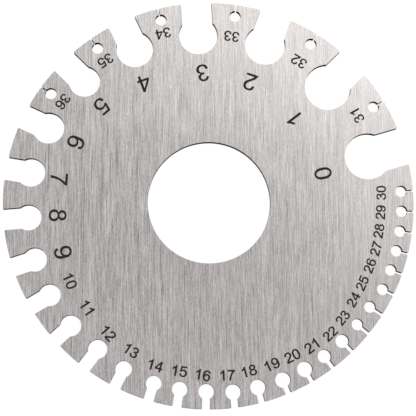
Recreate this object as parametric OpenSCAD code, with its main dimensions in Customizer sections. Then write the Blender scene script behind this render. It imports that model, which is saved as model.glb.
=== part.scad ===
// Round sheet and wire gauge, numbers 0 to 36: one flat plate of brushed steel with a keyhole
// slot for each number round its rim, and a round hole in the middle to hang it by.
// The plate lies flat with its numbered face up. The origin is on the underside, in the middle
// of the hole, and angles run anticlockwise from +X.

/* [Plate] */
// Diameter of the plate
plate_d = 85; // [80:1:100]
// Thickness of the plate
plate_t = 1.5; // [1:0.1:3]
// Diameter of the hole in the middle
hole_d = 25.4; // [16:0.2:32]

/* [Slots] */
// Direction of the widest slot, number 0
first_angle = 16.5; // [0:0.5:30]
// Play added to the width of every slot
slot_play = 0.05; // [0:0.01:0.1]
// Chamfer on the corners of each slot's mouth
mouth_break = 0.15; // [0.05:0.05:0.3]

/* [Hidden] */

plate_r = plate_d / 2;
past = 1; // how far a cut runs past the surface that it leaves

// The slots and their relief holes are sized in 64ths of an inch
inch = 25.4;
sixty_fourth = inch / 64;

// Sheet thickness by gauge number: 0 is 20/64 inch, and each number after it is thinner than
// the one before by a step that shrinks in seven stages
function step_down(n) = n <= 1 ? 2 : n <= 14 ? 1 : n <= 16 ? 0.5 : n <= 20 ? 0.4
                      : n <= 26 ? 0.2 : n <= 31 ? 0.1 : 0.05;
function sheet_64ths(n) = n == 0 ? 20 : sheet_64ths(n - 1) - step_down(n);
function slot_width(n) = sheet_64ths(n) * sixty_fourth + slot_play;

// Angle from each slot of the main ring, 0 to 30, to the next. What is left over closes the ring.
pitches = [28, 26, 23, 22, 20, 19.5, 15.5, 14.5, 13.5, 12,
           11.5, 11, 10, 10, 8, 8, 8, 7.5, 7.75, 7.25,
           7, 7, 6.75, 6.5, 6.5, 6.25, 6, 6, 6, 6];
last_in_ring = len(pitches);
last_number = 36;
function ring_angle(n) = n == 0 ? first_angle : ring_angle(n - 1) + pitches[n - 1];

// The six finest slots stand midway between the seven widest
function slot_angle(n) = n <= last_in_ring ? ring_angle(n)
    : (ring_angle(n - last_in_ring - 1) + ring_angle(n - last_in_ring)) / 2;

// Relief holes, one row for each run of slots that shares a drill and a depth, in 64ths of an
// inch: the last number of the run, the drill's diameter, and how far in from the rim it goes
reliefs = [[0, 24.5, 20], [1, 24.5, 19], [2, 21.5, 17.5], [3, 20.5, 17.5], [4, 19.5, 16.5],
           [5, 16.5, 15.5], [6, 16.5, 14.5], [7, 15, 13], [8, 13.5, 13], [9, 12.5, 12],
           [10, 11.5, 11.5], [11, 11, 11], [12, 10, 11.5], [13, 8.5, 10], [16, 8, 9],
           [18, 8, 8], [20, 8, 7.5], [22, 7, 7.5], [24, 6, 7.5], [36, 6, 6.25]];
function relief_row(n) = [for (row = reliefs) if (n <= row[0]) row][0];
function relief_d(n) = relief_row(n)[1] * sixty_fourth;
function relief_in(n) = relief_row(n)[2] * sixty_fourth;

// Outline of slot n, pointing along +X: the relief hole, and the parallel-sided throat that
// leads out of it through the rim, with its two mouth corners broken
module slot_outline(n) {
    half = slot_width(n) / 2;
    relief_x = plate_r - relief_in(n);
    throat_end = sqrt(plate_r ^ 2 - half ^ 2) - mouth_break;
    flare = mouth_break + past;

    translate([relief_x, 0])
        circle(d = relief_d(n), $fn = 64);
    polygon([
        [relief_x, -half],
        [throat_end, -half],
        [throat_end + flare, -half - flare],
        [throat_end + flare, half + flare],
        [throat_end, half],
        [relief_x, half]
    ]);
}

module gauge_plate() {
    color("#bcbab7")
        linear_extrude(plate_t)
            difference() {
                circle(d = plate_d, $fn = 360);
                circle(d = hole_d, $fn = 180);
                for (n = [0 : last_number])
                    rotate(slot_angle(n))
                        slot_outline(n);
            }
}

gauge_plate();
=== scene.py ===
# Round sheet and wire gauge lying on a pale floor, seen from nearly straight above
import math

import bmesh
import bpy
from mathutils import Matrix, Vector


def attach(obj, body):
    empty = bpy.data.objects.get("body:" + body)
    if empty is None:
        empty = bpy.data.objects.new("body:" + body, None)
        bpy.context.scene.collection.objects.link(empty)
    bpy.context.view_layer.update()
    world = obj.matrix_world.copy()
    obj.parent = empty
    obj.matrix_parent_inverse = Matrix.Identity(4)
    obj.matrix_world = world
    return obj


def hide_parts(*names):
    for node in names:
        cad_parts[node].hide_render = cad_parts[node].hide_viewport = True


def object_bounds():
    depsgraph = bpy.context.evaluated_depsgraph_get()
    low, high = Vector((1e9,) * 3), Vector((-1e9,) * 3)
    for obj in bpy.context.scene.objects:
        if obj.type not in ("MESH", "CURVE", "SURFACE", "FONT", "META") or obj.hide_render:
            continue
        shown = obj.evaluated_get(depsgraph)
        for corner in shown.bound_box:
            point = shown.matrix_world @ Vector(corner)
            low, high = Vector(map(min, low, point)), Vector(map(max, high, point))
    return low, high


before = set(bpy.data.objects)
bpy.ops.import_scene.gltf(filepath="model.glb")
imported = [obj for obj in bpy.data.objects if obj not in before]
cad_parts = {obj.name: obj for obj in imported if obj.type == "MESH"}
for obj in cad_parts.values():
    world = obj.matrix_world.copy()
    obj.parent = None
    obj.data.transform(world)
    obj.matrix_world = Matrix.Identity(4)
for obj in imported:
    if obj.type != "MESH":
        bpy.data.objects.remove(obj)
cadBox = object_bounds()
scene = bpy.context.scene
mm = 0.001


class Value:
    # A shader socket that can be used in sums, so that 1 - mask adds its Math node
    def __init__(self, recipe, socket):
        self.recipe = recipe
        self.socket = socket

    def maths(self, operation, first, second):
        return self.recipe.node("ShaderNodeMath", {"operation": operation},
                                {0: first, 1: second})

    def __add__(self, other):
        return self.maths("ADD", self, other)

    def __radd__(self, other):
        return self.maths("ADD", other, self)

    def __sub__(self, other):
        return self.maths("SUBTRACT", self, other)

    def __rsub__(self, other):
        return self.maths("SUBTRACT", other, self)

    def __mul__(self, other):
        return self.maths("MULTIPLY", self, other)

    def __rmul__(self, other):
        return self.maths("MULTIPLY", other, self)


class Recipe:
    # The nodes of one material or of the surround, and the helpers that make them
    def __init__(self, owner):
        owner.use_nodes = True
        self.tree = owner.node_tree

    def feed(self, socket, value):
        if isinstance(value, Value):
            self.tree.links.new(value.socket, socket)
        else:
            socket.default_value = value

    def node(self, kind, settings=None, sockets=None, out=0):
        made = self.tree.nodes.new(kind)
        for name, value in (settings or {}).items():
            setattr(made, name, value)
        for name, value in (sockets or {}).items():
            self.feed(made.inputs[name], value)
        return Value(self, made.outputs[out])

    def number(self, operation, first, second):
        # A Vector Math node that ends in one number
        return self.node("ShaderNodeVectorMath", {"operation": operation},
                         {0: first, 1: second}, out="Value")

    def mix(self, factor, first, second):
        return self.node("ShaderNodeMix", {"data_type": "RGBA", "blend_type": "MIX"},
                         {0: factor, 6: first, 7: second}, out=2)

    def between(self, value, low, high, newLow=0.0, newHigh=1.0, curve="LINEAR"):
        return self.node("ShaderNodeMapRange", {"interpolation_type": curve},
                         {"Value": value, "From Min": low, "From Max": high,
                          "To Min": newLow, "To Max": newHigh})


class Finish(Recipe):
    # One material, mixed from noise on the piece's own coordinates
    def __init__(self, name):
        self.material = bpy.data.materials.new(name)
        super().__init__(self.material)
        self.tree.nodes.clear()
        self.shader = self.tree.nodes.new("ShaderNodeBsdfPrincipled")
        output = self.tree.nodes.new("ShaderNodeOutputMaterial")
        self.tree.links.new(self.shader.outputs[0], output.inputs[0])

    def place(self, scale=(1, 1, 1), turn=0):
        here = self.node("ShaderNodeTexCoord", out="Object")
        turned = self.node("ShaderNodeMapping", {"vector_type": "POINT"},
                           {"Vector": here, "Rotation": (0, 0, turn)})
        return self.node("ShaderNodeMapping", {"vector_type": "POINT"},
                         {"Vector": turned, "Scale": scale})

    def noise(self, vector, detail=2.0, roughness=0.5):
        return self.node("ShaderNodeTexNoise", {"noise_dimensions": "3D"},
                         {"Vector": vector, "Scale": 1.0, "Detail": detail,
                          "Roughness": roughness})

    def bump(self, height, distance, strength):
        return self.node("ShaderNodeBump", None, {"Height": height, "Distance": distance,
                                                  "Strength": strength})

    def set(self, **values):
        for name, value in values.items():
            self.feed(self.shader.inputs[name.replace("_", " ")], value)
        return self.material


def giveShape(name, bm, *materials):
    mesh = bpy.data.meshes.new(name)
    bm.to_mesh(mesh)
    bm.free()
    for material in materials:
        mesh.materials.append(material)
    piece = bpy.data.objects.new(name, mesh)
    scene.collection.objects.link(piece)
    return piece


# Camera, at the photograph's viewing angle
view = {
    "plateRadius": 42.5 * mm,
    "tilt": 8.986,         # how far the plate leans back from square on, in degrees
    "leanAxis": -14.02,    # direction of the axis it leans about, in degrees
    "distance": 8.138,     # from the lens to the plate's centre, in plate radii
    "aside": (0.00536, 0.02725),  # the plate's centre from the middle of view, in radii
    "sensor": 36.0,
    "lens": 144.72,
    "clip": (0.01, 20),
}


def makeCamera():
    top = cadBox[1][2]
    axis = math.radians(view["leanAxis"])
    lean = (Matrix.Rotation(axis, 4, "Z")
            @ Matrix.Rotation(math.radians(view["tilt"]), 4, "X")
            @ Matrix.Rotation(-axis, 4, "Z"))
    across, up = view["aside"]
    back = Vector((-across, -up, view["distance"])) * view["plateRadius"]
    data = bpy.data.cameras.new("camera")
    data.sensor_width = view["sensor"]
    data.lens = view["lens"]
    data.clip_start, data.clip_end = view["clip"]
    camera = bpy.data.objects.new("camera", data)
    camera.matrix_world = Matrix.Translation((0, 0, top)) @ lean @ Matrix.Translation(back)
    scene.collection.objects.link(camera)
    scene.camera = camera


makeCamera()
print("camera made")


# Floor and studio light
studio = {
    "floorSize": 6.0,
    "floorDrop": 0.02 * mm,  # how far the floor lies below the plate
    "floorColour": (0.18, 0.18, 0.18, 1),
    "floorRoughness": 0.9,
    "floorSheen": 0.1,
    "floorGlow": 0.93,     # the floor shines evenly, like a light table
    "overhead": (0.68, 0.678, 0.682, 1),
    "walls": (0.80, 0.80, 0.80, 1),
    "wallsEnd": 0.1,       # sine of the height up to which the walls reach
    "overheadStart": 0.8,  # and of the height from which it is all overhead
    "softbox": (1.90, 1.89, 1.86, 1),
    "softboxAim": (0.26, 0.47, 0.843),  # where the bright part of the surround is
    "softboxEdge": 0.90,   # cosine of the angle from there to where it has faded out
}


def makeFloor():
    paint = Finish("floorPaint").set(
        Base_Color=studio["floorColour"], Roughness=studio["floorRoughness"],
        Specular_IOR_Level=studio["floorSheen"], Emission_Color=(1, 1, 1, 1),
        Emission_Strength=studio["floorGlow"])
    bm = bmesh.new()
    bmesh.ops.create_grid(bm, x_segments=1, y_segments=1, size=studio["floorSize"] / 2)
    bmesh.ops.translate(bm, verts=bm.verts, vec=(0, 0, -studio["floorDrop"]))
    giveShape("floor", bm, paint)


def makeSurround():
    world = bpy.data.worlds.new("surround")
    sky = Recipe(world)
    outwards = sky.node("ShaderNodeTexCoord")
    height = sky.number("DOT_PRODUCT", outwards, (0, 0, 1))
    rise = sky.between(height, studio["wallsEnd"], studio["overheadStart"], curve="SMOOTHSTEP")
    room = sky.mix(rise, studio["walls"], studio["overhead"])
    aim = sky.number("DOT_PRODUCT", outwards, Vector(studio["softboxAim"]).normalized())
    glow = sky.between(aim, studio["softboxEdge"], 1.0, curve="SMOOTHSTEP")
    light = sky.mix(glow, room, studio["softbox"])
    sky.feed(sky.tree.nodes["Background"].inputs["Color"], light)
    scene.world = world
    scene.view_settings.view_transform = "Standard"


makeFloor()
makeSurround()
print("floor and light made")


# The plate: brushed faces, dark laser-cut walls and a fine break on every edge
plate = {
    "edgeBreak": 0.03 * mm,
    "weld": 0.001 * mm,    # points closer than this are one
    "flatWithin": 0.5,     # degrees between faces that are taken as one flat face
    "rimAngle": 80,        # degrees; a level edge sharper than this is a rim
    "levelWithin": 0.01 * mm,
    "wallSlope": 0.6,      # faces with less of their normal upright than this are walls
    "smoothWithin": 20,    # degrees
    "steelDark": (0.300, 0.288, 0.284, 1),
    "steelPale": (0.850, 0.817, 0.806, 1),
    "grainTurn": 0.0,      # direction of the brushing, in degrees from the Y axis
    # scales of the noises across, along and through the plate, for each metre
    "fine": (15000, 1700, 400),
    "streak": (15000, 230, 400),
    "band": (1100, 16, 400),
    "glint": (10000, 80, 400),
    "groove": (9500, 55, 900),
    "cloud": (40, 40, 40),
    "fineRoughness": 0.6,
    "fineShare": 0.40,
    "streakShare": 0.53,
    "bandShare": 0.07,
    "darkest": 0.34,       # the grain's value at the dark steel, and at the pale
    "palest": 0.66,
    "glintFrom": 0.66,     # bright scratches, where their noise is high
    "glintTo": 0.78,
    "grooveFrom": 0.33,    # dark ones, where their noise is low
    "grooveTo": 0.22,
    "scratchTone": 0.30,
    "fadesTowards": (0.78, 0.62, 0),  # the grain is fainter towards the upper right: painted in for the softbox's reflection washing it out there, and for uneven brushing
    "strongAt": -21 * mm,
    "strongGrain": 1.38,
    "faintAt": 31 * mm,
    "faintGrain": 0.76,
    "rimPaintedSheen": 0.11,      # painted light: the plate is painted a little paler near the rim, standing in for how the light falls on it
    "rimSheenFrom": 13 * mm,
    "rimSheenTo": 36 * mm,
    "rimSheenEven": 0.35,      # share of the way out where the painted light neither raises nor lowers the tone
    "roughness": 0.16,
    "streakRoughness": 0.16,
    "cloudRoughness": 0.06,
    "streakDepth": 0.6,    # depth of the long hairlines against the fine ones
    "lineDepth": 0.004 * mm,
    "lineStrength": 0.6,
    "wall": (0.018, 0.0158, 0.0147, 1),
    "wallDark": (0.006, 0.0052, 0.0048, 1),
    "wallRoughness": 0.65,
    "ripple": (5000, 5000, 220),  # scales of the cut's upright ripples, for each metre
    "rippleNoise": 0.6,
    "rippleRoughness": 0.2,
    "rippleDepth": 0.01 * mm,
    "rippleStrength": 0.7,
}


def brushedSteel():
    finish = Finish("brushedSteel")
    turn = math.radians(plate["grainTurn"])
    here = finish.place()

    # Hairlines along the plate, with a few bright and dark scratches
    fine = finish.noise(finish.place(plate["fine"], turn), roughness=plate["fineRoughness"])
    streak = finish.noise(finish.place(plate["streak"], turn))
    band = finish.noise(finish.place(plate["band"], turn))
    cloud = finish.noise(finish.place(plate["cloud"]))
    glint = finish.between(finish.noise(finish.place(plate["glint"], turn), detail=0.0),
                           plate["glintFrom"], plate["glintTo"])
    groove = finish.between(finish.noise(finish.place(plate["groove"], turn), detail=0.0),
                            plate["grooveFrom"], plate["grooveTo"])
    grain = (fine * plate["fineShare"] + streak * plate["streakShare"]
             + band * plate["bandShare"])
    tone = (finish.between(grain, plate["darkest"], plate["palest"])
            + glint * plate["scratchTone"] - groove * plate["scratchTone"])

    # Over the whole plate the grain's contrast is painted fainter to one side, for the
    # softbox's reflection and for uneven brushing, and painted light makes the plate paler
    # near the rim
    upRight = finish.number("DOT_PRODUCT", here, plate["fadesTowards"])
    contrast = finish.between(upRight, plate["strongAt"], plate["faintAt"],
                              plate["strongGrain"], plate["faintGrain"])
    # Painted light: the tone is raised towards the rim and lowered towards the centre
    fromCentre = finish.number("DISTANCE", here, (0, 0, 0))
    rimSheenRamp = finish.between(fromCentre, plate["rimSheenFrom"], plate["rimSheenTo"])
    tone = ((tone - 0.5) * contrast + 0.5
            + (rimSheenRamp - plate["rimSheenEven"]) * plate["rimPaintedSheen"])

    colour = finish.mix(tone, plate["steelDark"], plate["steelPale"])
    rough = (plate["roughness"] + (streak - 0.5) * plate["streakRoughness"]
             + (cloud - 0.5) * plate["cloudRoughness"])
    lines = finish.bump(fine + streak * plate["streakDepth"], plate["lineDepth"],
                        plate["lineStrength"])
    return finish.set(Base_Color=colour, Metallic=1.0, Roughness=rough, Normal=lines)


def cutWall():
    finish = Finish("laserCutWall")
    ripple = finish.noise(finish.place(plate["ripple"]), roughness=plate["rippleNoise"])
    shade = finish.mix(ripple, plate["wallDark"], plate["wall"])
    rough = plate["wallRoughness"] + ripple * plate["rippleRoughness"]
    lines = finish.bump(ripple, plate["rippleDepth"], plate["rippleStrength"])
    return finish.set(Base_Color=shade, Roughness=rough, Normal=lines, Specular_IOR_Level=0.0)


def isRim(edge):
    # Sharp, and level from end to end
    return (len(edge.link_faces) == 2
            and edge.calc_face_angle(0) > math.radians(plate["rimAngle"])
            and abs(edge.verts[0].co.z - edge.verts[1].co.z) < plate["levelWithin"])


def makePlate():
    bm = bmesh.new()
    bm.from_mesh(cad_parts["gauge_plate"].data)
    bmesh.ops.remove_doubles(bm, verts=bm.verts, dist=plate["weld"])
    bmesh.ops.dissolve_limit(bm, angle_limit=math.radians(plate["flatWithin"]),
                             verts=bm.verts, edges=bm.edges)
    bmesh.ops.bevel(bm, geom=[edge for edge in bm.edges if isRim(edge)],
                    offset=plate["edgeBreak"], offset_type="OFFSET", affect="EDGES",
                    segments=2, profile=0.5, material=-1, clamp_overlap=False)
    bm.normal_update()
    for face in bm.faces:
        face.material_index = 1 if abs(face.normal.z) < plate["wallSlope"] else 0
        face.smooth = True
    piece = giveShape("steelPlate", bm, brushedSteel(), cutWall())
    piece.data.set_sharp_from_angle(angle=math.radians(plate["smoothWithin"]))
    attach(piece, "root")
    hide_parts("gauge_plate")


makePlate()
print("plate made")


# The numbers: laser marks on the upper face, read from the rim with their tops inwards
numbers = {
    "depth": 0.008 * mm,   # how far the mark stands proud
    "weld": 0.0008 * mm,   # points closer than this are one
    # last number, height in mm, and what is added all round the strokes in digit heights
    "sizes": [(9, 3.52, 0.010), (11, 2.20, 0.022), (21, 2.12, 0.025),
              (30, 1.93, 0.026), (36, 2.08, 0.024)],
    "widen": 1.06,         # width of the digits against their height
    "digitWidth": 0.66,    # in digit heights, before they are widened
    "footAndHead": 0.993,  # heights of the 6's lowest and highest points, added
    "pitch": 0.76,         # from one digit to the next, in digit heights
    "curveSteps": 4,       # from one point of an outline to the next
    "burnt": (0.012, 0.0085, 0.0055, 1),
    "scorched": (0.066, 0.048, 0.032, 1),
    "burn": (3500, 3500, 400),  # scales of the burn's unevenness, for each metre
    "burnNoise": 0.6,
    "roughness": 0.7,
    "sheen": 0.08,
    # number: direction in degrees, distance out in mm, turn in degrees
    "places": {
        0: (14.6, 24.50, -2), 1: (44.5, 25.20, -7), 2: (71.2, 26.95, 0), 3: (92.6, 27.45, 6),
        4: (118.2, 28.50, -7), 5: (137.8, 30.05, -6), 6: (155.6, 30.30, 2),
        7: (171.2, 31.35, 4), 8: (185.1, 31.30, -5), 9: (199.2, 31.80, -5),
        10: (209.7, 32.90, -7), 11: (221.2, 33.20, -7), 12: (232.5, 34.05, -11),
        13: (242.4, 34.50, -6), 14: (251.7, 35.40, 2), 15: (259.9, 35.30, 2),
        16: (267.7, 35.60, -8), 17: (275.7, 35.80, -4), 18: (282.9, 35.70, 2),
        19: (290.7, 35.80, 3), 20: (298.1, 35.95, -2), 21: (305.4, 36.35, 1),
        22: (312.3, 36.75, 2), 23: (318.9, 36.35, 2), 24: (325.8, 35.85, 4),
        25: (332.0, 35.70, 4), 26: (338.4, 35.65, 0), 27: (344.5, 35.80, -2),
        28: (350.5, 35.65, -1), 29: (356.8, 35.65, -1), 30: (3.4, 35.85, -3),
        31: (30.9, 36.15, -1), 32: (57.7, 35.50, 1), 33: (82.2, 35.65, 0),
        34: (104.9, 37.10, -1), 35: (125.8, 36.90, -2), 36: (145.2, 37.00, -2),
    },
}

# Outlines of the digits on a height of 1. A point with a third value is a sharp corner.
digitShapes = {
    "0": [[(0.33, -0.012), (0.56, 0.11), (0.65, 0.5), (0.56, 0.885), (0.33, 1.005),
           (0.10, 0.885), (0.01, 0.5), (0.10, 0.11)],
          [(0.33, 0.09), (0.205, 0.165), (0.14, 0.5), (0.205, 0.83), (0.33, 0.905),
           (0.455, 0.83), (0.52, 0.5), (0.455, 0.165)]],
    "1": [[(0.47, 0, 1), (0.345, 0, 1), (0.345, 0.78, 1), (0.235, 0.695), (0.11, 0.64, 1),
           (0.11, 0.76, 1), (0.275, 0.86), (0.39, 1.0, 1), (0.47, 1.0, 1)]],
    "2": [[(0.0, 0.0, 1), (0.65, 0.0, 1), (0.65, 0.12, 1), (0.175, 0.12, 1), (0.27, 0.23),
           (0.50, 0.43), (0.625, 0.58), (0.648, 0.725), (0.565, 0.925), (0.34, 1.005),
           (0.11, 0.93), (0.025, 0.71, 1), (0.15, 0.70, 1), (0.20, 0.845), (0.335, 0.90),
           (0.47, 0.85), (0.52, 0.72), (0.46, 0.57), (0.28, 0.40), (0.07, 0.19)]],
    "3": [[(0.01, 0.265, 1), (0.135, 0.283, 1), (0.195, 0.135), (0.32, 0.088), (0.47, 0.15),
           (0.525, 0.295), (0.475, 0.43), (0.34, 0.485), (0.245, 0.47, 1), (0.26, 0.585, 1),
           (0.40, 0.615), (0.47, 0.745), (0.43, 0.86), (0.315, 0.905), (0.20, 0.86),
           (0.145, 0.735, 1), (0.02, 0.755, 1), (0.11, 0.935), (0.31, 1.005), (0.52, 0.93),
           (0.60, 0.745), (0.57, 0.63), (0.485, 0.55), (0.61, 0.46), (0.66, 0.30),
           (0.56, 0.075), (0.32, -0.012), (0.10, 0.065)]],
    "4": [[(0.415, 0, 1), (0.54, 0, 1), (0.54, 0.24, 1), (0.67, 0.24, 1), (0.67, 0.355, 1),
           (0.54, 0.355, 1), (0.54, 1.0, 1), (0.435, 1.0, 1), (0, 0.36, 1), (0, 0.24, 1),
           (0.415, 0.24, 1)],
          [(0.415, 0.355, 1), (0.415, 0.80, 1), (0.12, 0.355, 1)]],
    "5": [[(0.01, 0.265, 1), (0.14, 0.277, 1), (0.195, 0.135), (0.315, 0.088), (0.47, 0.16),
           (0.53, 0.335), (0.47, 0.50), (0.315, 0.56), (0.21, 0.535), (0.135, 0.465, 1),
           (0.02, 0.48, 1), (0.115, 0.99, 1), (0.61, 0.99, 1), (0.61, 0.87, 1),
           (0.21, 0.87, 1), (0.155, 0.60, 1), (0.25, 0.65), (0.36, 0.668), (0.57, 0.58),
           (0.662, 0.345), (0.58, 0.10), (0.315, -0.012), (0.095, 0.06)]],
    "6": [[(0.345, 1.005), (0.09, 0.885), (0.005, 0.48), (0.09, 0.11), (0.345, -0.012),
           (0.565, 0.085), (0.652, 0.325), (0.575, 0.56), (0.38, 0.65), (0.26, 0.625),
           (0.135, 0.535, 1), (0.17, 0.745), (0.24, 0.868), (0.35, 0.905), (0.455, 0.86),
           (0.505, 0.745, 1), (0.63, 0.755, 1), (0.545, 0.935)],
          [(0.34, 0.09), (0.20, 0.15), (0.145, 0.315), (0.20, 0.475), (0.335, 0.54),
           (0.47, 0.475), (0.522, 0.315), (0.47, 0.15)]],
    "7": [[(0.01, 0.87, 1), (0.01, 0.99, 1), (0.65, 0.99, 1), (0.65, 0.89, 1), (0.46, 0.63),
           (0.33, 0.31), (0.285, 0, 1), (0.155, 0, 1), (0.20, 0.29), (0.32, 0.59),
           (0.49, 0.87, 1)]],
    "8": [[(0.33, 1.005), (0.535, 0.925), (0.61, 0.745), (0.58, 0.63), (0.49, 0.548),
           (0.61, 0.455), (0.657, 0.295), (0.565, 0.07), (0.33, -0.012), (0.095, 0.07),
           (0.003, 0.295), (0.05, 0.455), (0.17, 0.548), (0.08, 0.63), (0.05, 0.745),
           (0.125, 0.925)],
          [(0.33, 0.905), (0.22, 0.86), (0.175, 0.75), (0.22, 0.64), (0.33, 0.595),
           (0.44, 0.64), (0.485, 0.75), (0.44, 0.86)],
          [(0.33, 0.495), (0.18, 0.435), (0.13, 0.29), (0.185, 0.145), (0.33, 0.09),
           (0.475, 0.145), (0.53, 0.29), (0.48, 0.435)]],
}

# The 9 is the 6 turned half round
digitShapes["9"] = [[(numbers["digitWidth"] - x, numbers["footAndHead"] - y, *corner)
                     for x, y, *corner in outline] for outline in digitShapes["6"]]


def turnsLeft(outline):
    ahead = outline[1:] + outline[:1]
    return sum(a[0] * b[1] - b[0] * a[1] for a, b in zip(outline, ahead)) > 0


def digitMesh(digit, weight):
    # The digit as a slab, 1 high and 1 thick, with its strokes widened by weight all round
    flat = bpy.data.curves.new("digit", "CURVE")
    flat.dimensions = "2D"
    flat.fill_mode = "BOTH"
    flat.resolution_u = numbers["curveSteps"]
    flat.extrude = 0.5
    flat.offset = weight
    for layer, outline in enumerate(digitShapes[digit]):
        if turnsLeft(outline) != (layer == 0):  # holes turn the other way
            outline = outline[::-1]
        spline = flat.splines.new("BEZIER")
        spline.bezier_points.add(len(outline) - 1)
        spline.use_cyclic_u = True
        for point, (x, y, *corner) in zip(spline.bezier_points, outline):
            point.co = (x, y, 0)
            point.handle_left_type = point.handle_right_type = "VECTOR" if corner else "AUTO"
    drawn = bpy.data.objects.new("digit", flat)
    scene.collection.objects.link(drawn)
    bpy.context.view_layer.update()
    mesh = bpy.data.meshes.new_from_object(
        drawn.evaluated_get(bpy.context.evaluated_depsgraph_get()))
    bpy.data.objects.remove(drawn)
    return mesh


def laserMark():
    finish = Finish("laserMark")
    burn = finish.noise(finish.place(numbers["burn"]), roughness=numbers["burnNoise"])
    shade = finish.mix(burn, numbers["burnt"], numbers["scorched"])
    return finish.set(Base_Color=shade, Roughness=numbers["roughness"],
                      Specular_IOR_Level=numbers["sheen"])


def markPlace(word, direction, out, turn, height):
    # Carries a word on a height of 1, from the left end of its foot, to its place on the plate
    angle = math.radians(direction)
    x, y = math.cos(angle) * out * mm, math.sin(angle) * out * mm
    width = numbers["pitch"] * (len(word) - 1) + numbers["digitWidth"]
    return (Matrix.Translation((x, y, cadBox[1][2]))
            @ Matrix.Rotation(angle + math.pi / 2 + math.radians(turn), 4, "Z")
            @ Matrix.Diagonal((height * numbers["widen"], height, numbers["depth"] * 2, 1))
            @ Matrix.Translation((-width / 2, -0.5, 0)))


def makeNumbers():
    sets = [(last, height * mm, {digit: digitMesh(digit, weight) for digit in digitShapes})
            for last, height, weight in numbers["sizes"]]
    bm = bmesh.new()
    for number, (direction, out, turn) in numbers["places"].items():
        height, digits = next((height, digits) for last, height, digits in sets
                              if number <= last)
        word = str(number)
        stand = markPlace(word, direction, out, turn, height)
        for place, digit in enumerate(word):
            copy = digits[digit].copy()
            copy.transform(stand @ Matrix.Translation((place * numbers["pitch"], 0, 0)))
            bm.from_mesh(copy)
            bpy.data.meshes.remove(copy)
    bmesh.ops.remove_doubles(bm, verts=bm.verts, dist=numbers["weld"])
    bmesh.ops.recalc_face_normals(bm, faces=bm.faces)
    piece = giveShape("numberMarks", bm, laserMark())
    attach(piece, "root")


makeNumbers()
print("numbers made")
